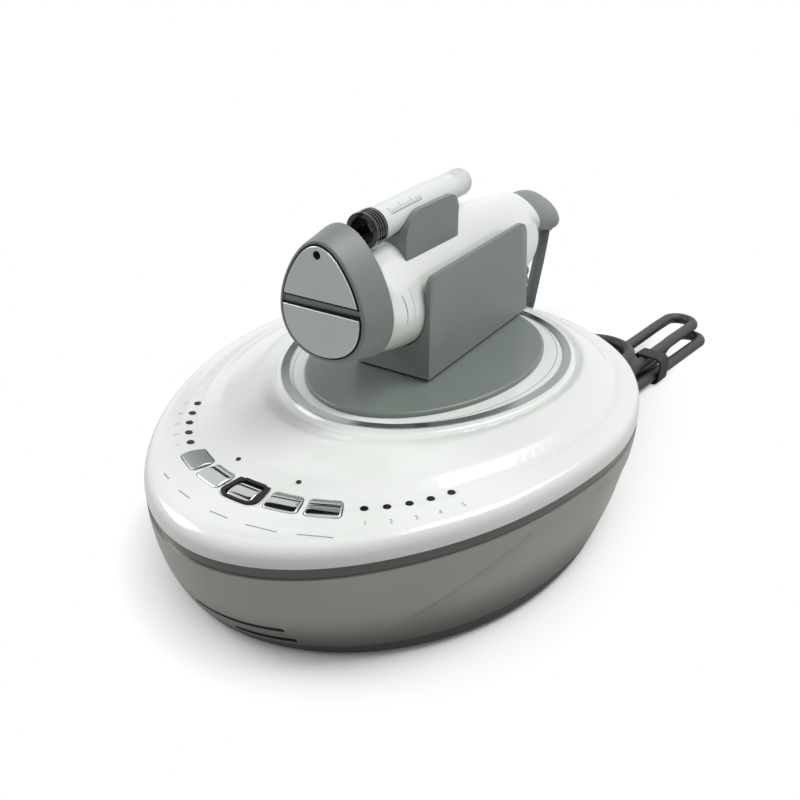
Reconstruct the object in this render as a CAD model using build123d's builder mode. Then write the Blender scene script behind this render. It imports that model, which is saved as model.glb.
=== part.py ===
from build123d import *
from math import acos, cos, degrees, pi, radians, sin, sqrt, tan
import os

# Skin-care device: an egg-shaped base that carries a handpiece in an open trough.
# Millimetres. Z is up, the control keys face -Y, and X = 0 is the plane of symmetry.
# The origin lies on the table under the middle of the base.

os.makedirs("parts", exist_ok=True)

# Base outline at the joint between cover and housing, and at the table
seam_height = 48.7
seam_half_width = 99.0
seam_half_length = 124.8
seam_fullness = 0.17
floor_half_width = 92.4
floor_half_length = 103.0
floor_centre_y = -7.0
floor_fullness = 0.05
flank_power = 1.77
shell_wall = 2.5
band_height = 5.0
band_wall = 3.0
band_recess = 0.8
flank_steps = (38.0, 31.0, 24.0, 18.5, 12.5)
pan_height = 7.5
pan_underside = 1.2
pan_floor = 2.5
pan_turn_in = ((5.0, 0.15), (2.6, 0.5))
pan_edge_inset = 1.4

# Cover: height above the seam against the way in from seam (0) to ring (1)
cover_profile = [
    (0.0, 0.0), (0.004, 2.8), (0.018, 5.2), (0.05, 7.2), (0.11, 8.3), (0.2, 8.8),
    (0.32, 9.1), (0.4, 9.7), (0.47, 11.2), (0.56, 12.7), (0.7, 14.0), (0.85, 14.7), (1.0, 15.0),
]
ring_half_width = 64.1
ring_half_length = 74.2
ring_centre_y = 27.3
ring_fullness = 0.08
ring_width = 3.7
ring_thickness = 1.9
ring_proud = 0.5
ring_land = 0.6

# Mat and trough on the cover
pad_half_width = 50.8
pad_half_length = 66.5
pad_centre_y = 27.6
pad_fullness = 0.07
pad_thickness = 2.2
pad_edge_radius = 1.2
foot_gap = 1.3
foot_inset = 3.0
trough_half_width = 19.4
trough_front_y = -1.0
trough_back_y = 96.5
trough_back_lean = 6.5
trough_front_height = 46.0
trough_back_height = 47.8
trough_wall = 2.2
trough_floor = 3.4
trough_front_radius = 4.0
trough_back_radius = 8.0
scoop_clearance = 0.4
scoop_widest_height = 94.0
cushion_gap = 0.4
cushion_length = 16.0
cushion_height = 14.0
cushion_places = (14.0, 78.0)

# Controls lie on one circle, angles counted from -Y
control_radius = 70.1
control_centre_y = -26.75
key_inner_radius = 66.0
key_outer_radius = 75.6
key_half_angle = 5.1
key_angles = (-25.5, -13.3, 0.0, 13.3, 25.5)
key_names = ("key_outer_left", "key_inner_left", "power_key", "key_inner_right", "key_outer_right")
key_corner = 1.6
key_clearance = 0.35
key_proud = 1.1
key_thickness = 3.2
key_edge_radius = 0.7
key_stem_width = 4.0
key_travel = 0.8
key_deck_rise = 9.1
status_rise = 11.6
cover_cut_depth = 8.0
cover_cut_length = 20.0
power_key_half_angle = 4.4
bezel_border = 2.6
bezel_height = 1.1
bezel_depth = 2.0
bezel_flange = 1.2
bezel_corner = 3.4
light_angles = (36.9, 43.5, 50.2, 56.9, 63.9)
light_diameter = 3.0
light_proud = 0.25
light_depth = 4.0
status_angle = 14.1
status_radius = 59.8
status_diameter = 2.0

# Boards and their switches
board_thickness = 1.6
board_rise = 1.0
board_inner_radius = 56.0
board_outer_radius = 78.5
board_half_angle = 68.0
switch_width = 6.0
switch_height = 2.5
switch_gap = 0.5
post_diameter = 7.0
post_angles = (-44.0, -7.0, 7.0, 44.0)
post_radius = 60.5
screw_diameter = 2.9
screw_head_diameter = 5.4
screw_head_height = 2.0
screw_depth = 7.0
screw_reach = 6.0
main_board_width = 96.0
main_board_length = 66.0
main_board_centre_y = -22.0
main_board_height = 16.0
main_post_inset = 5.0
board_corner = 3.0
capacitors = ((-24.0, 12.0, 8.0), (-24.0, -12.0, 6.0))
converter_x = 20.0
converter_width = 18.0
board_part_height = 9.0
transformer_width = 48.0
transformer_length = 40.0
transformer_height = 34.0
transformer_centre_y = 48.0
stack_width = 16.0
coil_inset = 4.0
rubber_foot_diameter = 16.0
rubber_foot_recess = 1.5
rubber_foot_edge = 0.5
rubber_foot_x = 56.0
rubber_foot_front_y = -68.0
rubber_foot_back_y = 54.0

# Vent slots low at the front of the housing, each as (height, middle, length)
vents = ((17.0, 8.0, 38.0), (10.6, 17.5, 24.0))
vent_opening = 2.2

# Handpiece: stations along Y as (y, half width, top, bottom)
head_front_y = -48.7
head_back_y = -34.0
head_front = (19.3, 138.7, 90.6)
head_back = (22.4, 141.6, 86.8)
section_fullness = -0.26
body_stations = [
    (-34.0, 21.0, 139.4, 88.6), (-27.0, 19.6, 130.0, 86.2), (-16.0, 18.0, 126.0, 83.0),
    (0.0, 16.3, 126.4, 79.2), (22.0, 15.9, 127.2, 76.4), (48.0, 15.8, 127.8, 75.0),
    (76.0, 15.8, 125.8, 74.8), (100.0, 15.2, 123.0, 75.6), (116.0, 13.4, 119.6, 78.6),
    (126.0, 10.0, 114.0, 84.0), (130.0, 6.0, 108.0, 91.0),
]
tail_stations = [
    (108.0, 11.0, 120.6, 98.0), (124.0, 11.2, 119.2, 97.6), (138.0, 10.4, 116.0, 94.4),
    (150.0, 9.4, 110.6, 91.6), (158.0, 8.2, 106.0, 90.6), (163.0, 5.6, 101.6, 92.6),
]
body_wall = 2.2
shell_split_height = 103.0
tail_split_y = 119.0
tail_split_angle = 32.0
tail_split_height = 113.0
plate_border = 1.4
plate_recess = 0.6
plate_proud = 0.8
plate_groove = 0.6
upper_plate_low = 115.7
lower_plate_top = 111.5
plate_edge_radius = 0.5
outlet_diameter = 3.3
outlet_height = 133.4
head_edge_radius = 1.0
handle_board_width = 18.0
handle_board_front_y = -22.0
handle_board_back_y = 92.0
handle_chip_places = (10.0, 56.0)
handle_chip_size = (12.0, 16.0, 6.0)

# Syringe along its own axis, and its holder
syringe_front_y = -20.8
syringe_axis_height = 134.9
syringe_tilt = 2.4
collar_length = 7.4
collar_diameter = 14.8
collar_bore = 10.8
collar_depth = 5.6
collar_groove = 0.5
collar_groove_width = 0.7
collar_groove_places = (1.6, 3.2, 4.8)
barrel_length = 41.5
barrel_diameter = 13.8
barrel_wall = 1.1
shoulder_length = 17.0
shoulder_end_diameter = 12.8
end_cap_length = 15.5
end_cap_diameter = 12.4
end_cap_round = 5.6
plunger_length = 9.0
syringe_clearance = 0.5
inlet_diameter = 3.4
inlet_length = 16.0
inlet_wall = 1.0
holder_front_y = -3.6
holder_back_y = 39.0
holder_top_height = 138.8
holder_low_height = 119.0
holder_wall = 2.2
holder_gap = 0.4
holder_front_radius = 12.0
holder_back_radius = 7.0

# Lead from the handpiece, its boot and the cords behind the base
boot_diameter = 8.8
boot_length = 10.0
boot_centre_y = 158.0
boot_bottom_height = 90.0
boot_tilt = 12.0
boot_edge_radius = 0.8
cord_diameter = 6.8
lead_diameter = 6.5
gland_diameter = 12.0
gland_flange = 1.5
gland_depth = 20.0
gland_tip_wall = 1.2
gland_place = (22.5, 27.8)
gland_seat_y = 118.5
lead_gland_place = (-68.0, 22.0)
lead_gland_seat_y = 93.0
lead_gland_tip_y = 104.0
tie_thickness = 1.0
tie_width = 10.0
tie_gap = 0.3
tie_corner = 3.0
body_gap = 0.3
layer_gap = 0.9

# A hank: its loops as (reach, fold, sideways place of the fold, place at the tie going out, coming back)
cord_hank_near = (41.0, 137.0)
cord_hank_angle = -9.0
cord_hank_fold = 17.0
cord_hank_tie = 52.0
cord_hank_loops = (
    (12.0, 17.0, 0.0, 0.0, 0.0), (18.0, 17.0, 0.0, 0.0, 0.0),
    (116.4, 8.5, -1.3, 5.9, -10.7), (112.9, 7.5, -10.3, -10.0, -17.9),
)
cord_tie_middle = -13.95
cord_tie_spread = 7.9
cord_run = 4.0
tail_run = 34.0
tail_end_run = 16.0
lead_hank_near = (-64.0, 172.0)
lead_hank_angle = 5.0
lead_hank_fold = 19.5
lead_hank_tie = 37.0
lead_hank_loops = ((74.0, 19.5, 0.0, 4.2, -4.2),) * 4
lead_tie_spread = 8.4
lead_run = 19.9
return_run = 18.5
lead_fall = ((0.0, 155.0, 75.7), (0.0, 145.5, 58.2), (-9.3, 134.3, 43.0), (-27.3, 134.4, 30.5))

# Mains plug
plug_width = 24.0
plug_height = 12.4
plug_length = 26.0
plug_corner = 4.0
plug_edge_radius = 2.0
plug_boot_length = 12.0
plug_boot_wall = 1.2
plug_boot_inset = 0.4
blade_width = 6.3
blade_thickness = 1.5
blade_length = 16.0
blade_place = 6.35


# Everything is drawn with Y = 0 in the middle of the base, then moved to the middle of the whole
frame_shift = (seam_half_length - tail_stations[-1][0]) / 2


def egg_face(plane, half_width, half_height, centre, fullness):
    """One closed smooth outline: an ellipse drawn fuller towards one end."""
    points = []
    for step in range(16):
        angle = 2 * pi * step / 16
        x = half_width * cos(angle) * (1 + fullness * sin(angle))
        points.append((x, centre + half_height * sin(angle)))
    with BuildSketch(plane) as face:
        with BuildLine():
            Spline(*points, periodic=True)
        make_face()
    return face.sketch


def flank_outline(level):
    """Half width, half length, centre and fullness of the base at a height under the seam."""
    top = seam_height - band_height
    share = min(max((top - level) / top, 0.0), 1.0) ** flank_power
    return (
        seam_half_width + (floor_half_width - seam_half_width) * share,
        seam_half_length + (floor_half_length - seam_half_length) * share,
        floor_centre_y * share,
        seam_fullness + (floor_fullness - seam_fullness) * share,
    )


def flank_face(level, inset):
    width, length, centre, fullness = flank_outline(level)
    return egg_face(Plane.XY.offset(level), width - inset, length - inset, centre, fullness)


def cover_face(share, level, inset):
    """Cover outline a share of the way in from the seam to the ring."""
    width = seam_half_width + (ring_half_width + ring_land - seam_half_width) * share
    length = seam_half_length + (ring_half_length + ring_land - seam_half_length) * share
    fullness = seam_fullness + (ring_fullness - seam_fullness) * share
    centre = ring_centre_y * share
    return egg_face(Plane.XY.offset(level), width - inset, length - inset, centre, fullness)


def polar(radius, angle):
    """A point on a control circle, with the angle counted from -Y."""
    turn = radians(angle)
    return (radius * sin(turn), control_centre_y - radius * cos(turn))


def sector_face(level, inner, outer, middle, half_angle, corner):
    """A key-shaped outline: part of a ring round the control centre."""
    first = middle - half_angle
    last = middle + half_angle
    with BuildSketch(Plane.XY.offset(level)) as face:
        with BuildLine():
            ThreePointArc(polar(outer, first), polar(outer, middle), polar(outer, last))
            Line(polar(outer, last), polar(inner, last))
            ThreePointArc(polar(inner, last), polar(inner, middle), polar(inner, first))
            Line(polar(inner, first), polar(outer, first))
        make_face()
        fillet(face.vertices(), corner)
    return face.sketch


def station_face(y, half_width, top, bottom, inset=0.0):
    """Cross-section of the handpiece in the plane across its length."""
    middle = (top + bottom) / 2
    half_height = (top - bottom) / 2 - inset
    return egg_face(Plane.XZ.offset(-y), half_width - inset, half_height, middle, section_fullness)


def finish(piece, name):
    """Names a piece, moves it to the middle of the whole and writes it."""
    piece.part.label = name
    export_step(piece.part.moved(Location((0, frame_shift, 0))), f"parts/{name}.step")
    print(name, len(piece.part.solids()), round(piece.part.volume, 1))


# Base: housing, pan, band and cover
flank_levels = [seam_height - band_height, *flank_steps, pan_height]
outer_flank = [flank_face(level, 0.0) for level in flank_levels]
inner_flank = [flank_face(level, shell_wall) for level in flank_levels]

with BuildPart() as flank_form:
    loft(sections=outer_flank)

with BuildPart() as lower_housing:
    loft(sections=outer_flank)
    loft(sections=inner_flank, mode=Mode.SUBTRACT)
    for level, middle, length in vents:
        with BuildSketch(Plane.XZ.offset(seam_half_length / 2)):
            with Locations((middle, level)):
                SlotOverall(length, vent_opening)
        extrude(amount=seam_half_length, mode=Mode.SUBTRACT)
    with BuildSketch(Plane.XZ.offset(-seam_half_length / 3)):
        for place in (gland_place, lead_gland_place):
            with Locations(place):
                Circle(gland_diameter / 2)
    extrude(amount=-seam_half_length, mode=Mode.SUBTRACT)
finish(lower_housing, "lower_housing")

pan_inside = pan_underside + pan_floor
pan_rings = [(pan_height, 0.0), *pan_turn_in, (pan_underside, pan_edge_inset)]
outer_pan = [flank_face(level, inset) for level, inset in pan_rings]
inner_pan = [flank_face(level, shell_wall) for level in (pan_height, pan_inside)]
foot_places = [
    (side * rubber_foot_x, y) for side in (-1, 1) for y in (rubber_foot_front_y, rubber_foot_back_y)
]
main_posts = [
    (sx * (main_board_width / 2 - main_post_inset),
     main_board_centre_y + sy * (main_board_length / 2 - main_post_inset))
    for sx in (-1, 1) for sy in (-1, 1)
]

with BuildPart() as bottom_pan:
    loft(sections=outer_pan)
    loft(sections=inner_pan, mode=Mode.SUBTRACT)
    with BuildSketch(Plane.XY.offset(pan_inside)):
        with Locations(*main_posts):
            Circle(post_diameter / 2)
    extrude(amount=main_board_height - pan_inside)
    with BuildSketch(Plane.XY.offset(main_board_height)):
        with Locations(*main_posts):
            Circle(screw_diameter / 2)
    extrude(amount=-screw_depth, mode=Mode.SUBTRACT)
    with BuildSketch(Plane.XY.offset(pan_underside)):
        with Locations(*foot_places):
            Circle(rubber_foot_diameter / 2)
    extrude(amount=rubber_foot_recess, mode=Mode.SUBTRACT)
finish(bottom_pan, "bottom_pan")

with BuildPart() as rubber_feet:
    with BuildSketch(Plane.XY):
        with Locations(*foot_places):
            Circle(rubber_foot_diameter / 2)
    extrude(amount=pan_underside + rubber_foot_recess)
    fillet(rubber_feet.edges().group_by(Axis.Z)[0], rubber_foot_edge)
finish(rubber_feet, "rubber_feet")

with BuildPart() as accent_band:
    extrude(to_extrude=flank_face(seam_height - band_height, band_recess), amount=band_height)
    extrude(to_extrude=flank_face(seam_height - band_height, band_recess + band_wall),
            amount=band_height, mode=Mode.SUBTRACT)
finish(accent_band, "accent_band")

plateau = seam_height + cover_profile[-1][1]
deck = seam_height + key_deck_rise
board_top = deck - shell_wall - key_thickness - switch_height - key_travel + board_rise
cut_start = deck - cover_cut_depth
ring_top = plateau + ring_proud
ring_bottom = ring_top - ring_thickness


def ring_face(level, inset):
    return egg_face(Plane.XY.offset(level), ring_half_width - inset, ring_half_length - inset,
                    ring_centre_y, ring_fullness)


cover_outer = [cover_face(share, seam_height + rise, 0.0) for share, rise in cover_profile]
cover_inner = [cover_face(0.0, seam_height, shell_wall)]
for share, rise in cover_profile[3:]:
    cover_inner.append(cover_face(share, seam_height + rise - shell_wall, shell_wall))

with BuildPart() as top_cover:
    loft(sections=cover_outer)
    loft(sections=cover_inner, mode=Mode.SUBTRACT)
    for angle in post_angles:
        with BuildSketch(Plane.XY.offset(board_top)):
            with Locations(polar(post_radius, angle)):
                Circle(post_diameter / 2)
        extrude(until=Until.NEXT)
    extrude(to_extrude=ring_face(ring_bottom, 0.0), amount=ring_thickness, mode=Mode.SUBTRACT)
    extrude(to_extrude=ring_face(ring_bottom, ring_width), amount=plateau - ring_bottom)
    for angle in key_angles:
        half = key_half_angle if angle else power_key_half_angle
        if angle:
            spread = degrees(key_clearance / control_radius)
            slot = sector_face(cut_start, key_inner_radius - key_clearance, key_outer_radius + key_clearance,
                               angle, half + spread, key_corner + key_clearance)
        else:
            spread = degrees((key_clearance + bezel_flange) / control_radius)
            slot = sector_face(cut_start, key_inner_radius - key_clearance - bezel_flange,
                               key_outer_radius + key_clearance + bezel_flange, angle, half + spread,
                               key_corner + bezel_flange)
        extrude(to_extrude=slot, amount=cover_cut_length, mode=Mode.SUBTRACT)
    for side in (-1, 1):
        for angle in light_angles:
            with BuildSketch(Plane.XY.offset(cut_start)):
                with Locations(polar(control_radius, side * angle)):
                    Circle(light_diameter / 2)
            extrude(amount=cover_cut_length, mode=Mode.SUBTRACT)
        with BuildSketch(Plane.XY.offset(cut_start)):
            with Locations(polar(status_radius, side * status_angle)):
                Circle(status_diameter / 2)
        extrude(amount=cover_cut_length, mode=Mode.SUBTRACT)
    for angle in post_angles:
        with BuildSketch(Plane.XY.offset(board_top)):
            with Locations(polar(post_radius, angle)):
                Circle(screw_diameter / 2)
        extrude(amount=screw_depth / 2, mode=Mode.SUBTRACT)
finish(top_cover, "top_cover")

with BuildPart() as trim_ring:
    extrude(to_extrude=ring_face(ring_bottom, 0.0), amount=ring_thickness)
    extrude(to_extrude=ring_face(ring_bottom, ring_width), amount=ring_thickness, mode=Mode.SUBTRACT)
finish(trim_ring, "trim_ring")

# Mat, trough and the rests in it
pad_level = plateau
pad_top = pad_level + pad_thickness
with BuildPart() as rest_pad:
    extrude(to_extrude=egg_face(Plane.XY.offset(pad_level), pad_half_width, pad_half_length,
                                pad_centre_y, pad_fullness), amount=pad_thickness)
    fillet(rest_pad.edges().group_by(Axis.Z)[-1], pad_edge_radius)
finish(rest_pad, "rest_pad")

trough_base = pad_top + foot_gap
trough_length = trough_back_y - trough_front_y
trough_middle_y = (trough_back_y + trough_front_y) / 2
with BuildPart() as cradle_foot:
    with BuildSketch(Plane.XY.offset(pad_top)):
        with Locations((0, trough_middle_y)):
            Rectangle(2 * (trough_half_width - foot_inset), trough_length - 2 * foot_inset)
    extrude(amount=foot_gap)
finish(cradle_foot, "cradle_foot")

body_sections = [station_face(*station) for station in body_stations]
tail_sections = [station_face(*station) for station in tail_stations]
with BuildPart() as handpiece_form:
    loft(sections=body_sections)
    loft(sections=tail_sections)

scoop_station = body_stations[3][1:]
trough_front_top = trough_base + trough_front_height
trough_back_top = trough_base + trough_back_height
with BuildPart() as cradle:
    with BuildSketch(Plane.YZ.offset(-trough_half_width)) as side_view:
        with BuildLine():
            Polyline(
                (trough_front_y, trough_base),
                (trough_back_y, trough_base),
                (trough_back_y - trough_back_lean, trough_back_top),
                (trough_front_y, trough_front_top),
                close=True,
            )
        make_face()
        fillet(side_view.vertices().sort_by(Axis.Y)[2], trough_front_radius)
        fillet(side_view.vertices().sort_by(Axis.Y)[-1], trough_back_radius)
    extrude(amount=2 * trough_half_width)
    with BuildSketch(Plane.XZ.offset(-trough_front_y - trough_wall)):
        with Locations((0, trough_base + trough_floor + trough_back_height / 2)):
            Rectangle(2 * (trough_half_width - trough_wall), trough_back_height + 4)
    extrude(amount=-2 * trough_length, mode=Mode.SUBTRACT)
    scoop = station_face(trough_front_y - trough_wall, *scoop_station, -scoop_clearance)
    extrude(to_extrude=scoop, amount=-3 * trough_wall, mode=Mode.SUBTRACT)
    with BuildSketch(Plane.XZ.offset(-trough_front_y + trough_wall)):
        with Locations((0, scoop_widest_height + trough_back_height / 2)):
            Rectangle(2 * (trough_half_width - trough_wall), trough_back_height)
    extrude(amount=-3 * trough_wall, mode=Mode.SUBTRACT)
finish(cradle, "cradle")

resting_stations = [station for station in body_stations if -20 < station[0] < 120]
resting_sections = [station_face(*station, -cushion_gap) for station in resting_stations]
with BuildPart() as cradle_cushions:
    for place in cushion_places:
        with BuildSketch(Plane.XY.offset(trough_base + trough_floor)):
            with Locations((0, place + cushion_length / 2)):
                Rectangle(2 * (trough_half_width - trough_wall), cushion_length)
        extrude(amount=cushion_height)
    loft(sections=resting_sections, mode=Mode.SUBTRACT)
finish(cradle_cushions, "cradle_cushions")

# Keys, bezel, windows and switches
switch_top = board_top + switch_height
for name, angle in zip(key_names, key_angles):
    half = key_half_angle if angle else power_key_half_angle
    key_top = deck + key_proud
    cap = sector_face(key_top - key_thickness, key_inner_radius, key_outer_radius, angle, half, key_corner)
    with BuildPart() as key:
        extrude(to_extrude=cap, amount=key_thickness)
        fillet(key.edges().group_by(Axis.Z)[-1], key_edge_radius)
        with BuildSketch(Plane.XY.offset(switch_top + switch_gap + key_travel)):
            with Locations(polar(control_radius, angle)):
                Rectangle(key_stem_width, key_stem_width, rotation=angle)
        extrude(amount=key_top - key_thickness - switch_top - switch_gap - key_travel)
    finish(key, name)

with BuildPart() as power_bezel:
    outer_angle = degrees((key_clearance + bezel_flange) / control_radius) + power_key_half_angle
    extrude(to_extrude=sector_face(deck - bezel_depth, key_inner_radius - key_clearance - bezel_flange,
                                   key_outer_radius + key_clearance + bezel_flange, 0.0, outer_angle,
                                   key_corner + bezel_flange), amount=bezel_depth)
    border_angle = degrees(bezel_border / control_radius) + power_key_half_angle
    extrude(to_extrude=sector_face(deck, key_inner_radius - bezel_border, key_outer_radius + bezel_border / 2,
                                   0.0, border_angle, bezel_corner), amount=bezel_height)
    add(top_cover.part, mode=Mode.SUBTRACT)
    hole_angle = degrees(key_clearance / control_radius) + power_key_half_angle
    extrude(to_extrude=sector_face(cut_start, key_inner_radius - key_clearance,
                                   key_outer_radius + key_clearance, 0.0, hole_angle,
                                   key_corner + key_clearance), amount=cover_cut_length, mode=Mode.SUBTRACT)
finish(power_bezel, "power_bezel")

for side, name in ((-1, "left_level_lights"), (1, "right_level_lights")):
    with BuildPart() as lights:
        with BuildSketch(Plane.XY.offset(deck - light_depth)):
            for angle in light_angles:
                with Locations(polar(control_radius, side * angle)):
                    Circle(light_diameter / 2)
        extrude(amount=light_depth + light_proud)
    finish(lights, name)

status_level = seam_height + status_rise
with BuildPart() as status_lights:
    with BuildSketch(Plane.XY.offset(status_level - light_depth)):
        for side in (-1, 1):
            with Locations(polar(status_radius, side * status_angle)):
                Circle(status_diameter / 2)
    extrude(amount=light_depth + light_proud)
finish(status_lights, "status_lights")

with BuildPart() as control_board:
    extrude(to_extrude=sector_face(board_top - board_thickness, board_inner_radius, board_outer_radius,
                                   0.0, board_half_angle, board_corner), amount=board_thickness)
    with BuildSketch(Plane.XY.offset(board_top)):
        for angle in post_angles:
            with Locations(polar(post_radius, angle)):
                Circle(screw_diameter / 2)
    extrude(amount=-board_thickness, mode=Mode.SUBTRACT)
finish(control_board, "control_board")

with BuildPart() as key_switches:
    for angle in key_angles:
        with BuildSketch(Plane.XY.offset(board_top)):
            with Locations(polar(control_radius, angle)):
                Rectangle(switch_width, switch_width, rotation=angle)
        extrude(amount=switch_height)
finish(key_switches, "key_switches")


def screw_group(places, head_level, drop):
    """Screws with their heads just outside a level and shanks going the way of drop."""
    up = 1 if drop < 0 else -1
    with BuildPart() as group:
        with BuildSketch(Plane.XY.offset(head_level)):
            with Locations(*places):
                Circle(screw_head_diameter / 2)
        extrude(amount=up * screw_head_height)
        with BuildSketch(Plane.XY.offset(head_level)):
            with Locations(*places):
                Circle(screw_diameter / 2)
        extrude(amount=drop)
    return group


cover_posts = [polar(post_radius, angle) for angle in post_angles]
finish(screw_group(cover_posts, board_top - board_thickness, board_thickness + screw_depth / 2),
       "board_screws")

with BuildPart() as main_board:
    with BuildSketch(Plane.XY.offset(main_board_height)):
        with Locations((0, main_board_centre_y)):
            RectangleRounded(main_board_width, main_board_length, board_corner)
        with Locations(*main_posts):
            Circle(screw_diameter / 2, mode=Mode.SUBTRACT)
    extrude(amount=board_thickness)
    with BuildSketch(Plane.XY.offset(main_board_height + board_thickness)):
        for x, y, radius in capacitors:
            with Locations((x, main_board_centre_y + y)):
                Circle(radius)
        with Locations((converter_x, main_board_centre_y)):
            Rectangle(converter_width, converter_width)
    extrude(amount=board_part_height)
finish(main_board, "main_board")
finish(screw_group(main_posts, main_board_height + board_thickness, -board_thickness - screw_reach),
       "main_board_screws")

with BuildPart() as mains_transformer:
    with BuildSketch(Plane.XY.offset(pan_inside)):
        with Locations((0, transformer_centre_y)):
            Rectangle(transformer_width, transformer_length - stack_width)
    extrude(amount=transformer_height)
    with BuildSketch(Plane.XY.offset(pan_inside + coil_inset)):
        with Locations((0, transformer_centre_y)):
            RectangleRounded(transformer_width - stack_width, transformer_length, coil_inset)
    extrude(amount=transformer_height - 2 * coil_inset)
finish(mains_transformer, "mains_transformer")

# Handpiece: shells, head, electrodes and tail
tail_plane = Plane(
    origin=(0, tail_split_y, tail_split_height),
    x_dir=(1, 0, 0),
    z_dir=(0, cos(radians(tail_split_angle)), sin(radians(tail_split_angle))),
)
hollow_stations = [station for station in body_stations if station[0] < tail_split_y]
hollow_sections = [station_face(*station, body_wall) for station in hollow_stations]
syringe_plane = Plane(
    origin=(0, syringe_front_y, syringe_axis_height),
    x_dir=(1, 0, 0),
    z_dir=(0, cos(radians(syringe_tilt)), sin(radians(syringe_tilt))),
)
barrel_start = collar_length
barrel_end = barrel_start + barrel_length
shoulder_end = barrel_end + shoulder_length
cap_end = shoulder_end + end_cap_length


with BuildPart() as handpiece_shell:
    add(handpiece_form.part)
    split(bisect_by=tail_plane, keep=Keep.BOTTOM)
    loft(sections=hollow_sections, mode=Mode.SUBTRACT)

with BuildPart() as syringe_space:
    with BuildSketch(syringe_plane.offset(-2 * syringe_clearance)):
        Circle(collar_diameter / 2 + syringe_clearance)
    extrude(amount=cap_end)

with BuildPart() as handpiece_upper_shell:
    add(handpiece_shell.part)
    split(bisect_by=Plane.XY.offset(shell_split_height), keep=Keep.TOP)
    add(syringe_space.part, mode=Mode.SUBTRACT)
finish(handpiece_upper_shell, "handpiece_upper_shell")

with BuildPart() as handpiece_lower_shell:
    add(handpiece_shell.part)
    split(bisect_by=Plane.XY.offset(shell_split_height), keep=Keep.BOTTOM)
finish(handpiece_lower_shell, "handpiece_lower_shell")

boot_plane = Plane(
    origin=(0, boot_centre_y, boot_bottom_height),
    x_dir=(1, 0, 0),
    z_dir=(0, sin(radians(boot_tilt)), cos(radians(boot_tilt))),
)
with BuildPart() as boot_form:
    with BuildSketch(boot_plane):
        Circle(boot_diameter / 2)
    extrude(amount=boot_length)

with BuildPart() as lead_boot:
    add(boot_form.part)
    fillet(lead_boot.edges().sort_by(Axis.Z)[0], boot_edge_radius)
finish(lead_boot, "lead_boot")

with BuildPart() as tail_cap:
    add(handpiece_form.part)
    split(bisect_by=tail_plane, keep=Keep.TOP)
    add(boot_form.part, mode=Mode.SUBTRACT)
finish(tail_cap, "tail_cap")

head_depth = head_back_y - head_front_y
face_floor_y = head_front_y + plate_recess
with BuildPart() as head_cap:
    loft(sections=[station_face(head_front_y, *head_front), station_face(head_back_y, *head_back)])
    fillet(head_cap.edges().group_by(Axis.Y)[0], head_edge_radius)
    extrude(to_extrude=station_face(head_front_y, *head_front, plate_border), amount=-plate_recess,
            mode=Mode.SUBTRACT)
    extrude(to_extrude=station_face(head_back_y, *head_back, 3 * body_wall), amount=head_depth / 2,
            mode=Mode.SUBTRACT)
    with BuildSketch(Plane.XZ.offset(-head_back_y)):
        with Locations((0, syringe_axis_height)):
            Circle(inlet_diameter / 2 + inlet_wall)
    extrude(amount=head_depth / 2)
finish(head_cap, "head_cap")

plate_thickness = plate_recess + plate_proud
plate_face = station_face(face_floor_y, *head_front, plate_border + plate_groove)
with BuildPart() as upper_electrode:
    extrude(to_extrude=plate_face, amount=plate_thickness)
    split(bisect_by=Plane.XY.offset(upper_plate_low), keep=Keep.TOP)
    fillet(upper_electrode.edges().group_by(Axis.Y)[0], plate_edge_radius)
    with BuildSketch(Plane.XZ.offset(-head_front_y + plate_thickness)):
        with Locations((0, outlet_height)):
            Circle(outlet_diameter / 2)
    extrude(amount=-3 * plate_thickness, mode=Mode.SUBTRACT)
finish(upper_electrode, "upper_electrode")

with BuildPart() as lower_electrode:
    extrude(to_extrude=plate_face, amount=plate_thickness)
    split(bisect_by=Plane.XY.offset(lower_plate_top), keep=Keep.BOTTOM)
    fillet(lower_electrode.edges().group_by(Axis.Y)[0], plate_edge_radius)
finish(lower_electrode, "lower_electrode")

# Syringe, drawn along its own tilted axis
with BuildPart() as syringe_collar:
    with BuildSketch(syringe_plane):
        Circle(collar_diameter / 2)
    extrude(amount=collar_length)
    for groove in collar_groove_places:
        with BuildSketch(syringe_plane.offset(groove)):
            Circle(collar_diameter / 2)
            Circle(collar_diameter / 2 - collar_groove, mode=Mode.SUBTRACT)
        extrude(amount=collar_groove_width, mode=Mode.SUBTRACT)
    with BuildSketch(syringe_plane):
        Circle(collar_bore / 2)
    extrude(amount=collar_depth, mode=Mode.SUBTRACT)
finish(syringe_collar, "syringe_collar")

with BuildPart() as syringe_barrel:
    with BuildSketch(syringe_plane.offset(barrel_start)):
        Circle(barrel_diameter / 2)
    extrude(amount=barrel_length)
    with BuildSketch(syringe_plane.offset(barrel_start + barrel_wall)):
        Circle(barrel_diameter / 2 - barrel_wall)
    extrude(amount=barrel_length, mode=Mode.SUBTRACT)
finish(syringe_barrel, "syringe_barrel")

with BuildPart() as syringe_plunger:
    with BuildSketch(syringe_plane.offset(barrel_end - 2 * plunger_length)):
        Circle(barrel_diameter / 2 - barrel_wall)
    extrude(amount=plunger_length)
finish(syringe_plunger, "syringe_plunger")

with BuildPart() as syringe_shoulder:
    with BuildSketch(syringe_plane.offset(barrel_end)):
        Circle(barrel_diameter / 2)
    with BuildSketch(syringe_plane.offset(shoulder_end)):
        Circle(shoulder_end_diameter / 2)
    loft()
    with BuildSketch(syringe_plane.offset(barrel_end)):
        Circle(barrel_diameter / 2 - barrel_wall)
    with BuildSketch(syringe_plane.offset(shoulder_end - 2 * barrel_wall)):
        Circle(shoulder_end_diameter / 2 - 2 * barrel_wall)
    loft(mode=Mode.SUBTRACT)
finish(syringe_shoulder, "syringe_shoulder")

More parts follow.
